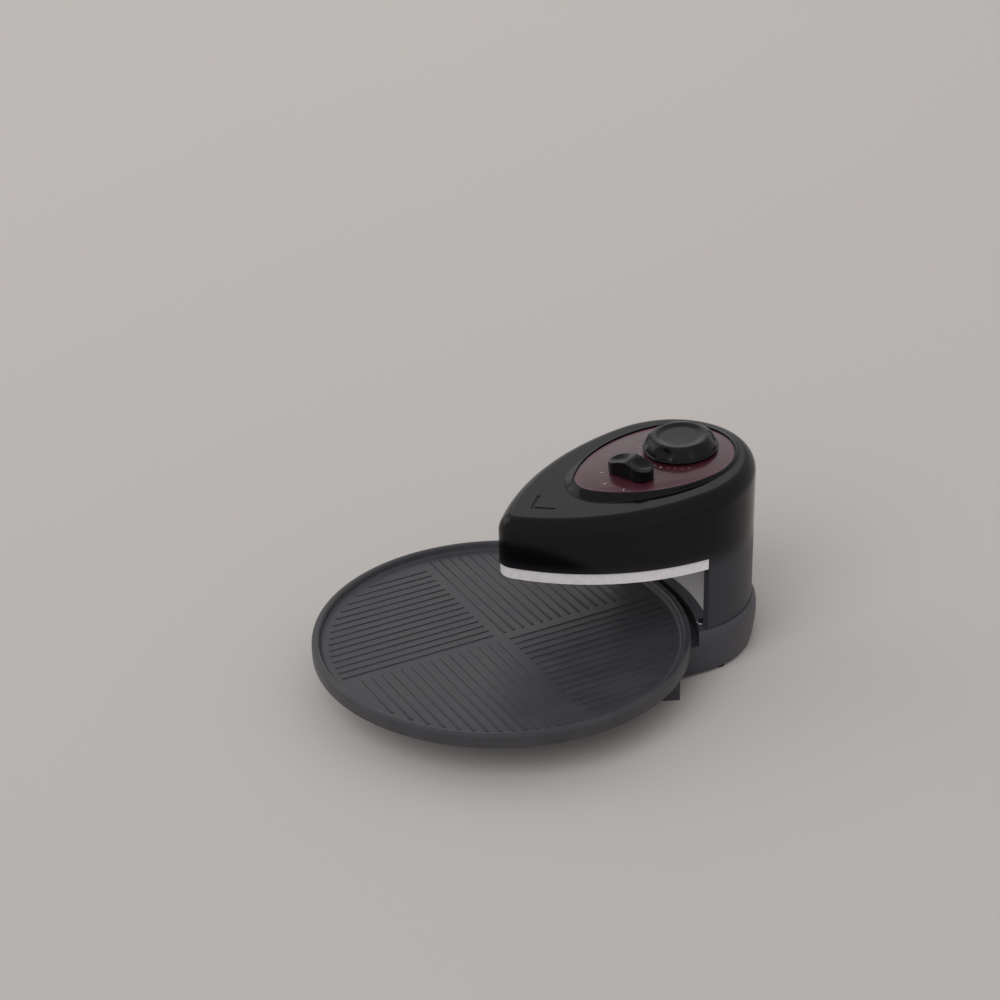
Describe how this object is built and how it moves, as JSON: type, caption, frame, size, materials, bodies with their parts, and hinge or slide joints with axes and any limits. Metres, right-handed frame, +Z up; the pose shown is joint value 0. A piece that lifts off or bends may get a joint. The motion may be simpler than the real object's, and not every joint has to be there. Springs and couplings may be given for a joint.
{
  "type": "rotating countertop pizza oven",
  "caption": "Countertop pizza oven: a boat-shaped heater head on a rear column over a round rimmed pan that turns on a driven hub, with a timer knob and a heat selector.",
  "frame": {"origin": "on the table, under the middle of the overall width and length", "axes": "+Z up, +Y from the pan towards the column at the back, +X to the right seen from the front"},
  "size_m": [0.338, 0.4225, 0.1988],
  "materials": {
    "housing_black": "high-gloss black moulding",
    "base_black": "satin black moulding",
    "knob_black": "gloss black moulding",
    "panel_maroon": "printed maroon plate under clear lacquer",
    "bright_steel": "bright rolled aluminised steel",
    "element_sheath": "oxidised tubular sheath",
    "nonstick_pan": "charcoal non-stick coating",
    "zinc_plated_steel": "zinc plated",
    "shaft_steel": "turned steel",
    "insulation": "mica board",
    "cover_plastic": "matt black moulding",
    "hub_plastic": "glass-filled nylon",
    "timer_case": "sealed clockwork case",
    "switch_case": "phenolic and ceramic insulators",
    "wire_cover": "glass-braided wire",
    "rubber_black": "moulded rubber"
  },
  "bodies": {
    "base": {"upper_housing": "housing_black", "control_plate": "panel_maroon", "upper_reflector": "bright_steel", "upper_element": "element_sheath", "upper_element_clips": "zinc_plated_steel", "heat_baffle": "insulation", "column_shield": "bright_steel", "column_bracket": "zinc_plated_steel", "base_housing": "base_black", "base_deck": "base_black", "bottom_cover": "cover_plastic", "left_outrigger": "base_black", "right_outrigger": "base_black", "lower_reflector": "bright_steel", "lower_element": "element_sheath", "lower_element_clips": "zinc_plated_steel", "drive_motor": "zinc_plated_steel", "motor_bracket": "zinc_plated_steel", "hub_bush": "hub_plastic", "timer_body": "timer_case", "timer_bell": "zinc_plated_steel", "timer_nut": "zinc_plated_steel", "heat_switch": "switch_case", "heat_switch_nut": "zinc_plated_steel", "thermal_cutout": "switch_case", "terminal_block": "switch_case", "wire_loom": "wire_cover", "cord_gland": "rubber_black", "rubber_feet": "rubber_black", "cover_screws": "zinc_plated_steel", "head_screws": "zinc_plated_steel", "bracket_screws": "zinc_plated_steel", "motor_screws": "zinc_plated_steel", "outrigger_screws": "zinc_plated_steel", "deck_screws": "zinc_plated_steel"},
    "turntable": {"motor_shaft": "shaft_steel", "drive_hub": "hub_plastic"},
    "pan": {"baking_pan": "nonstick_pan", "pan_socket": "zinc_plated_steel"},
    "timer_dial": {"timer_knob": "knob_black", "timer_shaft": "shaft_steel"},
    "selector_dial": {"selector_knob": "knob_black", "selector_shaft": "shaft_steel"}
  },
  "joints": [
    {"name": "turntable_spin", "type": "hinge", "parent": "base", "child": "turntable", "pos_m": [0, -0.04225, 0.035], "axis": [0, 0, 1], "continuous": true},
    {"name": "pan_lift", "type": "slide", "parent": "turntable", "child": "pan", "axis": [0, 0, 1], "range_m": [0, 0.03]},
    {"name": "timer_turn", "type": "hinge", "parent": "base", "child": "timer_dial", "pos_m": [-0.004, 0.14475, 0.18337], "axis": [0, -0.0659, 0.9978], "range_deg": [-300, 0]},
    {"name": "selector_turn", "type": "hinge", "parent": "base", "child": "selector_dial", "pos_m": [0.011, 0.08425, 0.17938], "axis": [0, -0.0659, 0.9978], "range_deg": [-45, 45]}
  ]
}
